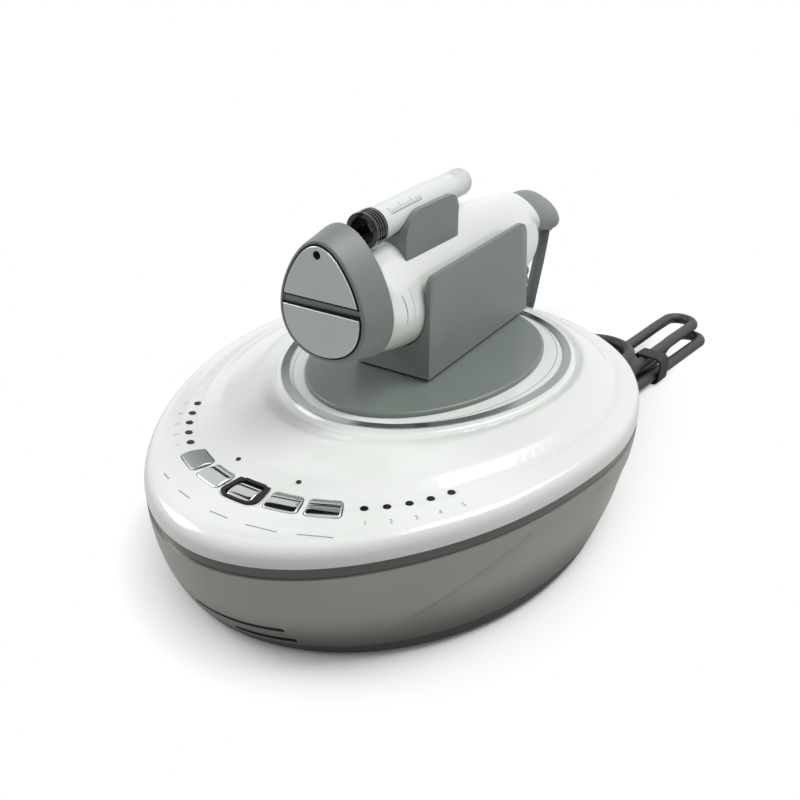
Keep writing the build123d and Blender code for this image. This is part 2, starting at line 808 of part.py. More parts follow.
with BuildPart() as syringe_end_cap:
    with BuildSketch(syringe_plane.offset(shoulder_end)):
        Circle(end_cap_diameter / 2)
    extrude(amount=end_cap_length)
    fillet(syringe_end_cap.edges().sort_by(Axis.Y)[-1], end_cap_round)
finish(syringe_end_cap, "syringe_end_cap")

inlet_end = head_back_y + inlet_length
with BuildPart() as serum_inlet:
    with BuildSketch(Plane.XZ.offset(-head_back_y)):
        with Locations((0, syringe_axis_height)):
            Circle(inlet_diameter / 2)
    extrude(amount=-inlet_length)
    with BuildSketch(Plane.XZ.offset(-inlet_end)):
        with Locations((0, syringe_axis_height)):
            Circle(inlet_diameter / 4)
    extrude(amount=inlet_length / 2, mode=Mode.SUBTRACT)
    add(handpiece_form.part, mode=Mode.SUBTRACT)
finish(serum_inlet, "serum_inlet")

holder_inner = barrel_diameter / 2 + holder_gap
holder_half_width = holder_inner + holder_wall
holder_length = holder_back_y - holder_front_y
with BuildPart() as syringe_holder:
    with BuildSketch(Plane.YZ.offset(-holder_half_width)) as cheek:
        with BuildLine():
            Polyline(
                (holder_front_y, holder_low_height),
                (holder_back_y, holder_low_height),
                (holder_back_y, holder_top_height),
                (holder_front_y, holder_top_height),
                close=True,
            )
        make_face()
        fillet(cheek.vertices().group_by(Axis.Y)[-1].sort_by(Axis.X)[0], holder_front_radius)
        fillet(cheek.vertices().group_by(Axis.X)[-1].sort_by(Axis.Y)[-1], holder_back_radius)
    extrude(amount=2 * holder_half_width)
    with BuildSketch(syringe_plane):
        Circle(holder_inner)
        with Locations((0, -holder_inner)):
            Rectangle(2 * holder_inner, 2 * holder_inner)
    extrude(amount=cap_end, mode=Mode.SUBTRACT)
    add(handpiece_form.part, mode=Mode.SUBTRACT)
finish(syringe_holder, "syringe_holder")

with BuildPart() as handpiece_board:
    with BuildSketch(Plane.XY.offset(shell_split_height - board_thickness)):
        with Locations((0, (handle_board_front_y + handle_board_back_y) / 2)):
            Rectangle(handle_board_width, handle_board_back_y - handle_board_front_y)
    extrude(amount=board_thickness)
    with BuildSketch(Plane.XY.offset(shell_split_height)):
        for place in handle_chip_places:
            with Locations((0, place)):
                Rectangle(handle_chip_size[0], handle_chip_size[1])
    extrude(amount=handle_chip_size[2])
finish(handpiece_board, "handpiece_board")

# Glands, cords, hanks and plug, all on the table behind the base

def lowest_level(diameter):
    return diameter / 2 + tie_thickness + tie_gap


def hank_frame(near, angle, side):
    """Where a hank starts, which way its runs go, and which way its first side lies."""
    turn = radians(angle)
    ahead = Vector(-sin(turn), cos(turn), 0)
    across = Vector(cos(turn), sin(turn), 0) * side
    return (Vector(near[0], near[1], 0), ahead, across)


def half_run(start, end, heading):
    """From one line to another beside it in two equal arcs, both ends pointing the same way."""
    middle = (start + end) / 2
    chord = middle - start
    if heading.cross(chord).length < 0.001:
        return [Edge.make_line(start, end)]
    angle = acos(heading.dot(chord) / chord.length)
    rise = (heading - chord.normalized() * cos(angle)).normalized() * (chord.length / 2 * tan(angle / 2))
    return [
        Edge.make_three_point_arc(start, (start + middle) / 2 + rise, middle),
        Edge.make_three_point_arc(middle, (middle + end) / 2 - rise, end),
    ]


def hank_edges(frame, loops, near_fold, tie, diameter, quarter_end):
    """A cord laid out and back in loops, a step lower after each near turn, drawn in at the tie."""
    near, ahead, across = frame
    step = diameter + layer_gap
    floor_level = lowest_level(diameter)
    top = floor_level + (len(loops) - 1) * step
    near_reach = sqrt(near_fold ** 2 + (step / 2) ** 2)

    def place(along, out, level):
        return near + ahead * along + across * out + Vector(0, 0, level)

    edges = [Edge.make_line(place(-diameter, near_fold, top), place(0, near_fold, top))]
    for index, (reach, fold, shift, tie_out, tie_back) in enumerate(loops):
        level = top - index * step
        way_out = [place(0, near_fold, level), place(reach, shift + fold, level)]
        way_back = [place(reach, shift - fold, level), place(0, -near_fold, level)]
        if reach > tie:
            way_out.insert(1, place(tie, tie_out, level))
            way_back.insert(1, place(tie, tie_back, level))
        for start, end in zip(way_out, way_out[1:]):
            edges += half_run(start, end, ahead)
        edges.append(Edge.make_three_point_arc(
            way_out[-1], place(reach + fold, shift, level), way_back[0]))
        for start, end in zip(way_back, way_back[1:]):
            edges += half_run(start, end, ahead * -1)
        if index < len(loops) - 1:
            edges.append(Edge.make_three_point_arc(
                place(0, -near_fold, level), place(-near_reach, 0, level - step / 2),
                place(0, near_fold, level - step)))
    if not quarter_end:
        edges.append(Edge.make_line(
            place(0, -near_fold, floor_level), place(-diameter, -near_fold, floor_level)))
        return edges
    corner = near_fold * sin(pi / 4)
    edges.append(Edge.make_line(place(0, -near_fold, floor_level), place(-step, -near_fold, floor_level)))
    edges.append(Edge.make_three_point_arc(
        place(-step, -near_fold, floor_level), place(-step - corner, -corner, floor_level),
        place(-step - near_fold, 0, floor_level)))
    edges.append(Edge.make_line(
        place(-step - near_fold, 0, floor_level), place(-step - near_fold, diameter, floor_level)))
    return edges


def report_tube(name, piece, length, diameter):
    share = piece.part.volume / (length * pi * diameter ** 2 / 4)
    print(name, "length", round(length, 1), "volume share", round(share, 4))


def hank_solid(name, edges, diameter):
    """Sweeps a hank, and prints its length and the least gap between its turns."""
    path = Wire(edges)
    with BuildPart() as hank:
        with BuildSketch(Plane(origin=edges[0] @ 0, z_dir=edges[0] % 0)):
            Circle(diameter / 2)
        sweep(path=path)
    points = []
    travelled = 0.0
    for edge in edges:
        for part in range(10):
            points.append((travelled + edge.length * part / 10, edge @ (part / 10)))
        travelled += edge.length
    gap = min(
        (second[1] - first[1]).length
        for index, first in enumerate(points) for second in points[index + 1:]
        if second[0] - first[0] > 2 * diameter
    )
    report_tube(name, hank, travelled, diameter)
    print(name, "least gap", round(gap - diameter, 2))
    return hank


def route_radii(points):
    """Bend radii for a route, each as large as the shorter run beside it allows."""
    places = [Vector(*point) for point in points]
    radii = []
    for before, corner, after in zip(places, places[1:], places[2:]):
        turn = radians((corner - before).get_angle(after - corner))
        radii.append(0.45 * min((corner - before).length, (after - corner).length) / tan(turn / 2))
    return radii


def cord_solid(name, points, diameter):
    radii = route_radii(points)
    with BuildPart() as tube:
        with BuildLine() as route:
            FilletPolyline(*points, radius=radii)
        with BuildSketch(Plane(origin=route.line @ 0, z_dir=route.line % 0)):
            Circle(diameter / 2)
        sweep()
    report_tube(name, tube, route.wire().length, diameter)
    print(name, "radii", [round(radius, 1) for radius in radii])
    return tube


def hank_tie(frame, along, middle, spread, layers, diameter):
    """A flat band round the drawn-in part of a hank, standing on the table."""
    near, ahead, across = frame
    inner_width = spread + diameter + 6 * tie_gap
    inner_top = lowest_level(diameter) + (layers - 1) * (diameter + layer_gap) + diameter / 2 + tie_gap
    plane = Plane(
        origin=near + ahead * (along - tie_width / 2) + across * middle, x_dir=across, z_dir=ahead)
    upward = 1 if plane.y_dir.Z > 0 else -1
    with BuildPart() as tie:
        with BuildSketch(plane):
            with Locations((0, upward * (inner_top + tie_thickness) / 2)):
                RectangleRounded(
                    inner_width + 2 * tie_thickness, inner_top + tie_thickness, tie_corner + tie_thickness)
                RectangleRounded(inner_width, inner_top - tie_thickness, tie_corner, mode=Mode.SUBTRACT)
        extrude(amount=tie_width)
    return tie


cord_frame = hank_frame(cord_hank_near, cord_hank_angle, -1)
lead_frame = hank_frame(lead_hank_near, lead_hank_angle, 1)
cord_hank_edges = hank_edges(
    cord_frame, cord_hank_loops, cord_hank_fold, cord_hank_tie, cord_diameter, True)
lead_hank_edges = hank_edges(
    lead_frame, lead_hank_loops, lead_hank_fold, lead_hank_tie, lead_diameter, False)

finish(hank_solid("mains_hank", cord_hank_edges, cord_diameter), "mains_hank")
finish(hank_tie(cord_frame, cord_hank_tie, cord_tie_middle, cord_tie_spread, 2, cord_diameter), "mains_tie")
finish(hank_solid("lead_hank", lead_hank_edges, lead_diameter), "lead_hank")
finish(hank_tie(lead_frame, lead_hank_tie, 0.0, lead_tie_spread, len(lead_hank_loops), lead_diameter),
       "lead_tie")

# Mains cord: from its gland to the hank, and from the hank to the plug
hank_start = cord_hank_edges[0] @ 0
hank_heading = cord_hank_edges[0] % 0
bend = hank_start - hank_heading * cord_run
cord_points = [(bend.X, bend.Y - cord_run, bend.Z), tuple(bend), tuple(hank_start)]
finish(cord_solid("mains_cord", cord_points, cord_diameter), "mains_cord")

tail_start = cord_hank_edges[-1] @ 1
tail_heading = cord_hank_edges[-1] % 1
tail_bend = tail_start + tail_heading * tail_run
tail_points = [tuple(tail_start), tuple(tail_bend), (tail_bend.X - tail_end_run, tail_bend.Y, tail_bend.Z)]
finish(cord_solid("mains_tail", tail_points, cord_diameter), "mains_tail")

plug_x = tail_points[-1][0]
plug_y = tail_points[-1][1]
plug_body_x = plug_x - plug_boot_length
blade_x = plug_body_x - plug_length
with BuildPart() as mains_plug:
    with BuildSketch(Plane.YZ.offset(plug_x)):
        with Locations((plug_y, tail_points[-1][2])):
            Circle(cord_diameter / 2 + plug_boot_wall)
    with BuildSketch(Plane.YZ.offset(plug_body_x)):
        with Locations((plug_y, plug_height / 2)):
            Circle(plug_height / 2 - plug_boot_inset)
    loft()
    with BuildSketch(Plane.XY):
        with Locations((plug_body_x - plug_length / 2, plug_y)):
            RectangleRounded(plug_length, plug_width, plug_corner)
    extrude(amount=plug_height)
    fillet(mains_plug.faces().sort_by(Axis.Z)[-1].edges(), plug_edge_radius)
finish(mains_plug, "mains_plug")

with BuildPart() as plug_blades:
    with BuildSketch(Plane.YZ.offset(blade_x)):
        for side in (-1, 1):
            with Locations((plug_y + side * blade_place, plug_height / 2)):
                Rectangle(blade_thickness, blade_width)
    extrude(amount=-blade_length)
finish(plug_blades, "plug_blades")


def cord_gland(place, seat, tip, cord):
    """A strain relief through the housing wall, with a flange outside, tapering to its tip."""
    front = Plane.XZ.offset(-seat - gland_flange)
    with BuildPart() as gland:
        with BuildSketch(front):
            with Locations(place):
                Circle(gland_diameter / 2 + gland_flange)
        extrude(amount=gland_depth)
        add(flank_form.part, mode=Mode.SUBTRACT)
        with BuildSketch(front):
            with Locations(place):
                Circle(gland_diameter / 2)
        extrude(amount=gland_depth)
        with BuildSketch(front):
            with Locations(place):
                Circle(gland_diameter / 2)
        with BuildSketch(Plane.XZ.offset(-tip)):
            with Locations(place):
                Circle(cord / 2 + gland_tip_wall)
        loft()
    return gland


finish(cord_gland(gland_place, gland_seat_y, cord_points[0][1], cord_diameter), "mains_gland")
finish(cord_gland(lead_gland_place, lead_gland_seat_y, lead_gland_tip_y, lead_diameter), "lead_gland")

# Lead: from the handpiece down to its hank, and from the hank back to its gland
lead_start = lead_hank_edges[0] @ 0
lead_heading = lead_hank_edges[0] % 0
lead_points = [
    tuple(boot_plane.origin - boot_plane.z_dir * body_gap),
    *lead_fall,
    tuple(lead_start - lead_heading * lead_run),
    tuple(lead_start),
]
finish(cord_solid("handpiece_lead", lead_points, lead_diameter), "handpiece_lead")

return_start = lead_hank_edges[-1] @ 1
return_heading = lead_hank_edges[-1] % 1
return_points = [
    tuple(return_start),
    tuple(return_start + return_heading * return_run),
    (lead_gland_place[0], lead_gland_tip_y + return_run, lead_gland_place[1]),
    (lead_gland_place[0], lead_gland_tip_y, lead_gland_place[1]),
]
finish(cord_solid("lead_return", return_points, lead_diameter), "lead_return")
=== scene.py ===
import bpy
import bmesh
from math import atan2, cos, pi, radians, sin, sqrt, tan
from mathutils import Matrix, Vector
from mathutils.bvhtree import BVHTree
from mathutils.geometry import convex_hull_2d


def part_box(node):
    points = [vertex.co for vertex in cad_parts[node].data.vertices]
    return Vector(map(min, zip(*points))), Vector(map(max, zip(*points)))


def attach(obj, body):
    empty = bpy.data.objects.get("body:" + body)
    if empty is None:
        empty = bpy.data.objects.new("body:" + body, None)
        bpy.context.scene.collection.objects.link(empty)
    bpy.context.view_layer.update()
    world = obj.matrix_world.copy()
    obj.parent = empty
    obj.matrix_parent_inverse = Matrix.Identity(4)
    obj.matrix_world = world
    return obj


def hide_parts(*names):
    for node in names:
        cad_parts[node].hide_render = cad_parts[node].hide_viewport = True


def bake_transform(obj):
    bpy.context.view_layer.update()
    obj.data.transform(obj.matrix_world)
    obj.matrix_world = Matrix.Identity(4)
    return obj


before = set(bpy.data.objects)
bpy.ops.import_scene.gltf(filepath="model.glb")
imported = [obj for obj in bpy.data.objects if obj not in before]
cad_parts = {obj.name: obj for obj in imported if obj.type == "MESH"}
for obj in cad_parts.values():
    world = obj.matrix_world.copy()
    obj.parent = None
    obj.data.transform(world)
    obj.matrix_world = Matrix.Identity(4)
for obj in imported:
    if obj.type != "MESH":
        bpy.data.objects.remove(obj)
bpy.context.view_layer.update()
mm = 0.001
shiftY = -19.1  # the middle of the base lies this far in front of the origin
mergeGap = 0.002  # corners of a CAD mesh nearer than this, in mm, are one
wearFineness = 1.6  # the roughness drifts over patches this much smaller than the tone


def srgb(code):
    parts = [int(code[i:i + 2], 16) / 255 for i in (1, 3, 5)]
    linear = [p / 12.92 if p <= 0.04045 else ((p + 0.055) / 1.055) ** 2.4 for p in parts]
    return (*linear, 1.0)


def addNode(tree, kind, settings=None, links=None):
    node = tree.nodes.new(kind)
    for name, value in (settings or {}).items():
        if isinstance(name, int) or name in node.inputs:
            node.inputs[name].default_value = value
        else:
            setattr(node, name, value)
    for name, source in (links or {}).items():
        tree.links.new(source, node.inputs[name])
    return node


def substance(name, tones, patch, rough, relief=None, stretch=(1, 1, 1), **gloss):
    # two close tones drift over patches of that size in mm, and the roughness over smaller ones;
    # relief is the grain's size and depth in mm, and a grain too fine for the render is drawn coarser
    # than it really is, so that it shows
    material = bpy.data.materials.new(name)
    material.use_nodes = True
    tree = material.node_tree
    shader = tree.nodes["Principled BSDF"]
    for socket, value in gloss.items():
        shader.inputs[socket.replace("_", " ")].default_value = value
    spot = addNode(tree, "ShaderNodeTexCoord").outputs["Object"]
    if stretch != (1, 1, 1):
        spot = addNode(tree, "ShaderNodeMapping", {"Scale": stretch}, {"Vector": spot}).outputs[0]
    drift = addNode(tree, "ShaderNodeTexNoise", {"Scale": 1 / (patch * mm), "Detail": 4.0}, {"Vector": spot})
    tone = addNode(tree, "ShaderNodeMix", {"data_type": "RGBA"}, {0: drift.outputs["Fac"]})
    tone.inputs[6].default_value = srgb(tones[0])
    tone.inputs[7].default_value = srgb(tones[1])
    tree.links.new(tone.outputs[2], shader.inputs["Base Color"])
    wear = addNode(tree, "ShaderNodeTexNoise", {"Scale": wearFineness / (patch * mm), "Detail": 3.0},
                   {"Vector": spot})
    spread = addNode(tree, "ShaderNodeMapRange", {"To Min": rough[0], "To Max": rough[1]},
                     {"Value": wear.outputs["Fac"]})
    tree.links.new(spread.outputs["Result"], shader.inputs["Roughness"])
    if relief:
        grain = addNode(tree, "ShaderNodeTexNoise", {"Scale": 1 / (relief[0] * mm), "Detail": 2.0},
                        {"Vector": spot})
        bump = addNode(tree, "ShaderNodeBump", {"Distance": relief[1] * mm}, {"Height": grain.outputs["Fac"]})
        tree.links.new(bump.outputs["Normal"], shader.inputs["Normal"])
    return material


def paint(material, *names):
    for name in names:
        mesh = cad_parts[name].data
        mesh.materials.clear()
        mesh.materials.append(material)


def smooth(piece, angle=35):
    for face in piece.data.polygons:
        face.use_smooth = True
    piece.data.set_sharp_from_angle(angle=radians(angle))


def place(x, y, z):
    return Vector((x * mm, (y + shiftY) * mm, z * mm))


def meshFrom(build, name):
    mesh = bpy.data.meshes.new(name)
    build.to_mesh(mesh)
    build.free()
    return mesh


def linked(name, data, material=None):
    if material:
        data.materials.append(material)
    piece = bpy.data.objects.new(name, data)
    bpy.context.scene.collection.objects.link(piece)
    return piece


# camera, read off the photo
camera = {"place": (184.94, -282.07, 232.61), "azimuth": 32.6835, "down": 28.2239, "roll": -0.108,
          "lens": 38.23, "sensor": 36, "nearest": 0.01}
lens = bpy.data.cameras.new("camera")
lens.lens = camera["lens"]
lens.sensor_width = camera["sensor"]
lens.sensor_fit = "HORIZONTAL"
lens.clip_start = camera["nearest"]
eye = linked("camera", lens)
turn = (Matrix.Rotation(radians(camera["azimuth"]), 4, "Z")
        @ Matrix.Rotation(radians(90 - camera["down"]), 4, "X")
        @ Matrix.Rotation(radians(camera["roll"]), 4, "Z"))
eye.matrix_world = Matrix.Translation(place(*camera["place"])) @ turn
bpy.context.scene.camera = eye
bpy.context.scene.view_settings.view_transform = "Standard"

# the main softbox high at the back right, a weak one at the left front
studio = {
    "main": {"place": (0.5, 0.4, 1.15), "size": 0.7, "watts": 10.5},
    "left": {"place": (-0.95, -0.35, 0.8), "size": 0.5, "watts": 5.0},
    "aim": (0.0, -0.02, 0.06),
    "world": 0.46,
}
for lampName in ("main", "left"):
    setting = studio[lampName]
    light = bpy.data.lights.new(lampName, "AREA")
    light.shape = "SQUARE"
    light.size = setting["size"]
    light.energy = setting["watts"]
    lamp = linked(lampName, light)
    lamp.location = setting["place"]
    aim = Vector(studio["aim"]) - Vector(setting["place"])
    lamp.rotation_euler = aim.to_track_quat("-Z", "Y").to_euler()

world = bpy.data.worlds.new("studio")
bpy.context.scene.world = world
world.use_nodes = True
sky = world.node_tree
sky.nodes.clear()
path = addNode(sky, "ShaderNodeLightPath").outputs
seen = addNode(sky, "ShaderNodeMath", {"operation": "MAXIMUM"},
               {0: path["Is Camera Ray"], 1: path["Is Glossy Ray"]})
through = addNode(sky, "ShaderNodeMath", {"operation": "MAXIMUM"},
                  {0: seen.outputs[0], 1: path["Is Transmission Ray"]})
dim = addNode(sky, "ShaderNodeBackground", {"Color": (1, 1, 1, 1), "Strength": studio["world"]}).outputs[0]
white = addNode(sky, "ShaderNodeBackground", {"Color": (1, 1, 1, 1), "Strength": 1.0}).outputs[0]
skyMix = addNode(sky, "ShaderNodeMixShader", None, {0: through.outputs[0], 1: dim, 2: white})
addNode(sky, "ShaderNodeOutputWorld", None, {"Surface": skyMix.outputs[0]})

# white paper floor: it keeps the shadow close round the object and is seen plain white further out;
# the light it throws back is that of a darker table, so that the underside stays dim
backdrop = {"halfWidth": 0.0924, "middle": -0.0261, "front": -0.103, "back": 0.235, "shadowEnd": 0.98,
            "whiteFrom": 1.24, "mirrored": 0.5, "table": "#9C9D9B", "size": 6.0}
paper = substance("backdropPaperMatt", ("#FCFCFB", "#FFFFFF"), 40, (0.85, 0.95))
paperTree = paper.node_tree
paperSpot = addNode(paperTree, "ShaderNodeTexCoord").outputs["Object"]
axes = addNode(paperTree, "ShaderNodeSeparateXYZ", None, {0: paperSpot}).outputs
sideways = addNode(paperTree, "ShaderNodeMath", {"operation": "DIVIDE", 1: backdrop["halfWidth"]},
                   {0: axes["X"]}).outputs[0]
fromMiddle = addNode(paperTree, "ShaderNodeMath", {"operation": "SUBTRACT", 1: backdrop["middle"]},
                     {0: axes["Y"]}).outputs[0]
forwards = addNode(paperTree, "ShaderNodeMath", {"operation": "DIVIDE", 1: backdrop["front"]},
                   {0: fromMiddle}).outputs[0]
backwards = addNode(paperTree, "ShaderNodeMath", {"operation": "DIVIDE", 1: backdrop["back"]},
                    {0: fromMiddle}).outputs[0]
lengthways = addNode(paperTree, "ShaderNodeMath", {"operation": "MAXIMUM"},
                     {0: forwards, 1: backwards}).outputs[0]
joined = addNode(paperTree, "ShaderNodeCombineXYZ", None, {0: sideways, 1: lengthways}).outputs[0]
reach = addNode(paperTree, "ShaderNodeVectorMath", {"operation": "LENGTH"}, {0: joined}).outputs["Value"]
fade = addNode(paperTree, "ShaderNodeMapRange",
               {"From Min": backdrop["shadowEnd"], "From Max": backdrop["whiteFrom"]},
               {"Value": reach}).outputs["Result"]
rays = addNode(paperTree, "ShaderNodeLightPath").outputs
mirrored = addNode(paperTree, "ShaderNodeMath", {"operation": "MULTIPLY", 1: backdrop["mirrored"]},
                   {0: rays["Is Glossy Ray"]}).outputs[0]
opaque = addNode(paperTree, "ShaderNodeMath", {"operation": "MAXIMUM"},
                 {0: rays["Is Camera Ray"], 1: mirrored})
direct = addNode(paperTree, "ShaderNodeMath", {"operation": "MAXIMUM"},
                 {0: opaque.outputs[0], 1: rays["Is Transmission Ray"]})
glow = addNode(paperTree, "ShaderNodeEmission", {"Color": (1, 1, 1, 1), "Strength": 1.0}).outputs[0]
seenPaper = addNode(paperTree, "ShaderNodeMixShader", None,
                    {0: fade, 1: paperTree.nodes["Principled BSDF"].outputs[0], 2: glow}).outputs[0]
table = addNode(paperTree, "ShaderNodeBsdfDiffuse", {"Color": srgb(backdrop["table"])}).outputs[0]
paperMix = addNode(paperTree, "ShaderNodeMixShader", None, {0: direct.outputs[0], 1: table, 2: seenPaper})
paperTree.links.new(paperMix.outputs[0], paperTree.nodes["Material Output"].inputs["Surface"])
floorBuild = bmesh.new()
bmesh.ops.create_grid(floorBuild, x_segments=2, y_segments=2, size=backdrop["size"])
floor = linked("floor", meshFrom(floorBuild, "floor"), paper)

# black cards out of view: one the polished ring mirrors, one the front of the keys mirrors
cardFelt = substance("cardBlackFelt", ("#050505", "#0A0A0A"), 20, (0.9, 1.0))
cardAim = Vector((0.0, -0.08, 0.06))
cards = {
    "cardLow": {"place": (-0.62, 0.72, 0.46), "size": (0.8, 0.14)},
    "cardHigh": {"place": (-0.42, 0.28, 0.95), "size": (0.5, 0.34)},
}
for cardName, card in cards.items():
    cardBuild = bmesh.new()
    bmesh.ops.create_grid(cardBuild, x_segments=1, y_segments=1, size=0.5)
    aim = (cardAim - Vector(card["place"])).to_track_quat("Z", "Y").to_matrix().to_4x4()
    scaled = Matrix.Diagonal((card["size"][0], card["size"][1], 1.0, 1.0))
    cardBuild.transform(Matrix.Translation(card["place"]) @ aim @ scaled)
    cardPiece = linked(cardName, meshFrom(cardBuild, cardName), cardFelt)
print("camera, lamps and floor set")

# moulded gloss ABS: cool off-white, wet-looking
whiteAbs = substance("absGlossMoulded", ("#E5E8E4", "#E9ECE8"), 60, (0.15, 0.22), (24, 0.02),
                     Coat_Weight=0.3, Coat_Roughness=0.12)
# satin grey lacquer on ABS: soft sheen, fine sparkle too small to see singly
satinPaint = substance("absSatinGreyLacquer", ("#9B9E97", "#A3A69F"), 30, (0.3, 0.38), (0.35, 0.004),
                       Metallic=0.35)
# painted shade: the lacquer's colour is darkened towards the table in a soft fade between two heights,
# standing for the shade that the lower flanks fall into
footShadeFade = {"low": 6, "high": 26, "darkest": 0.3}
lacquer = satinPaint.node_tree
lacquerSpot = addNode(lacquer, "ShaderNodeTexCoord").outputs["Object"]
height = addNode(lacquer, "ShaderNodeSeparateXYZ", None, {0: lacquerSpot}).outputs["Z"]
shade = addNode(lacquer, "ShaderNodeMapRange",
                {"interpolation_type": "SMOOTHSTEP", "From Min": footShadeFade["low"] * mm,
                 "From Max": footShadeFade["high"] * mm, "To Min": footShadeFade["darkest"], "To Max": 1.0},
                {"Value": height}).outputs["Result"]
shadedTone = addNode(lacquer, "ShaderNodeMix", {"data_type": "RGBA", "blend_type": "MULTIPLY", 0: 1.0},
                  {6: lacquer.nodes["Mix"].outputs[2], 7: shade}).outputs[2]
lacquer.links.new(shadedTone, lacquer.nodes["Principled BSDF"].inputs["Base Color"])
# gloss ABS moulding in the seam: an even dark grey line with a faint shine
bandAbs = substance("absDarkGreyGlossMoulded", ("#4E514D", "#565955"), 40, (0.14, 0.22), Coat_Weight=0.4)
# underside pan: ABS from a spark-eroded mould, dull; its dark grey is partly painted shade for the underside
# turned away from the light
panAbs = substance("absGreyGrainedMoulded", ("#2E312E", "#373A36"), 18, (0.5, 0.62), (0.4, 0.03))
# feet: moulded rubber, nearly black and without shine
footRubber = substance("rubberBlackMoulded", ("#1B1C1B", "#252625"), 8, (0.65, 0.8), (0.5, 0.03))
# soft-touch coat: grey with a hint of green, matt, powdery
softTouch = substance("softTouchGreyGreenCoat", ("#767E79", "#7D8580"), 22, (0.4, 0.5), (0.5, 0.006),
                      Sheen_Weight=0.08)
# cradle lining: pressed wool felt, dark, with a faint fuzz that lightens its edges
feltPad = substance("woolFeltDarkPressed", ("#2C2F2D", "#3A3E3B"), 3, (0.85, 0.95), (0.6, 0.15),
                    Sheen_Weight=0.4)
# round mat on the cover: the same grey-green, a little smoother
matRubber = substance("siliconeMatMoulded", ("#737B76", "#7A827D"), 26, (0.3, 0.38), (0.5, 0.004))
# chrome plate on ABS: mirror with a faint haze
chrome = substance("chromePlatedAbs", ("#BFC4C2", "#C9CDCB"), 12, (0.06, 0.12), Metallic=1.0)
# outer left key: brushed nickel plate, lines along one way, drawn coarser than real so that they show
brushedKey = substance("nickelPlateBrushed", ("#8E9291", "#A2A6A5"), 3, (0.25, 0.36), (0.5, 0.01),
                       (0.12, 2.0, 1), Metallic=1.0)
# trim ring: polished stainless, mirrors its surroundings a little softened
ringSteel = substance("stainlessPolishedRing", ("#A5A9A9", "#B4B8B8"), 25, (0.14, 0.22), (0.5, 0.003),
                      Metallic=1.0)
# electrode plates: stainless, bead-blasted to a satin
plateSteel = substance("stainlessSatinBlasted", ("#B2B6B4", "#BBBFBD"), 16, (0.22, 0.3), (0.4, 0.004),
                       Metallic=1.0)
# switches and the syringe's collar: black, gloss
blackGloss = substance("absBlackGlossMoulded", ("#0B0C0C", "#121313"), 14, (0.08, 0.16), Coat_Weight=0.5)
# the power key's surround and the trough's foot: black, softer gloss; on the trough's foot the black is
# partly painted shade, darkening the gap under the trough
bezelAndFootShadeBlack = substance("absBlackSatinMoulded", ("#060707", "#0B0C0C"), 9, (0.3, 0.4),
                       Specular_IOR_Level=0.3)
# smoked windows of the level lights: black when off
smokedLens = substance("acrylicSmokedLens", ("#060707", "#0C0D0D"), 4, (0.22, 0.3),
                       Specular_IOR_Level=0.35)
# circuit boards: solder mask over glass fibre, deep green with a slight gloss
solderMask = substance("glassFibreSolderMask", ("#14532F", "#1B6338"), 9, (0.3, 0.42), (0.9, 0.01))
# screws: zinc-plated steel, dull silver
zinc = substance("steelZincPlated", ("#9FA3A3", "#B4B7B5"), 4, (0.26, 0.4), Metallic=1.0)
# transformer: varnished silicon steel in thin layers, brown with an amber tint
varnish = substance("siliconSteelVarnished", ("#3A2E22", "#5C4730"), 6, (0.35, 0.5), (0.5, 0.02),
                    (1, 1, 3.0))
# mains cord: PVC sheath, extruded, dark green-black, low sheen
cordPvc = substance("pvcSheathExtruded", ("#262B29", "#323836"), 9, (0.4, 0.52), (1.2, 0.03))
# lead: TPE sheath, grey-green, matt
leadTpe = substance("tpeSheathExtruded", ("#59615C", "#656D68"), 11, (0.48, 0.6), (1.1, 0.03))
# strap round each bundle: woven nylon, black and matt
strap = substance("nylonStrapWoven", ("#151615", "#212221"), 2, (0.6, 0.75), (0.5, 0.08))
# plug: soft PVC moulded over, dark, low sheen
plugPvc = substance("pvcPlugOvermoulded", ("#242827", "#2E3331"), 7, (0.42, 0.55), (0.6, 0.02))
# plug blades: nickel over brass, a warm silver
blade = substance("brassNickelPlated", ("#B9B29A", "#C6C0A9"), 5, (0.2, 0.3), Metallic=1.0)
# syringe barrel: white polypropylene, slightly waxy
barrelPp = substance("polypropyleneWhiteMoulded", ("#DCDFDD", "#E5E8E6"), 14, (0.22, 0.3),
                     Subsurface_Weight=0.1, Subsurface_Scale=0.002)
# end cap: frosted polypropylene, milky and half clear
frosted = substance("polypropyleneFrosted", ("#E3E7E6", "#EEF1F0"), 10, (0.35, 0.48),
                    Transmission_Weight=0.45)
# plunger inside the barrel: silicone rubber, dark grey and matt
plungerRubber = substance("siliconeRubberDark", ("#2A2C2C", "#353838"), 5, (0.5, 0.62))

paint(whiteAbs, "top_cover", "handpiece_upper_shell", "handpiece_lower_shell")
paint(satinPaint, "lower_housing")
paint(bandAbs, "accent_band")
paint(panAbs, "bottom_pan")
paint(footRubber, "rubber_feet")
paint(matRubber, "rest_pad")
paint(softTouch, "cradle", "tail_cap", "head_cap", "syringe_holder")
paint(feltPad, "cradle_cushions")
paint(chrome, "key_inner_left", "power_key", "key_inner_right", "key_outer_right", "serum_inlet")
paint(brushedKey, "key_outer_left")
paint(ringSteel, "trim_ring")
paint(plateSteel, "upper_electrode", "lower_electrode")
paint(blackGloss, "key_switches", "syringe_collar")
paint(bezelAndFootShadeBlack, "power_bezel", "cradle_foot")
paint(smokedLens, "left_level_lights", "right_level_lights", "status_lights")
paint(solderMask, "control_board", "main_board", "handpiece_board")
paint(zinc, "board_screws", "main_board_screws")
paint(varnish, "mains_transformer")
paint(cordPvc, "mains_gland", "mains_cord", "mains_hank", "mains_tail")
paint(leadTpe, "lead_gland", "lead_boot", "handpiece_lead", "lead_hank", "lead_return")
paint(strap, "mains_tie", "lead_tie")
paint(plugPvc, "mains_plug")
paint(blade, "plug_blades")
paint(barrelPp, "syringe_barrel", "syringe_shoulder")
paint(frosted, "syringe_end_cap")
paint(plungerRubber, "syringe_plunger")
print("materials painted")


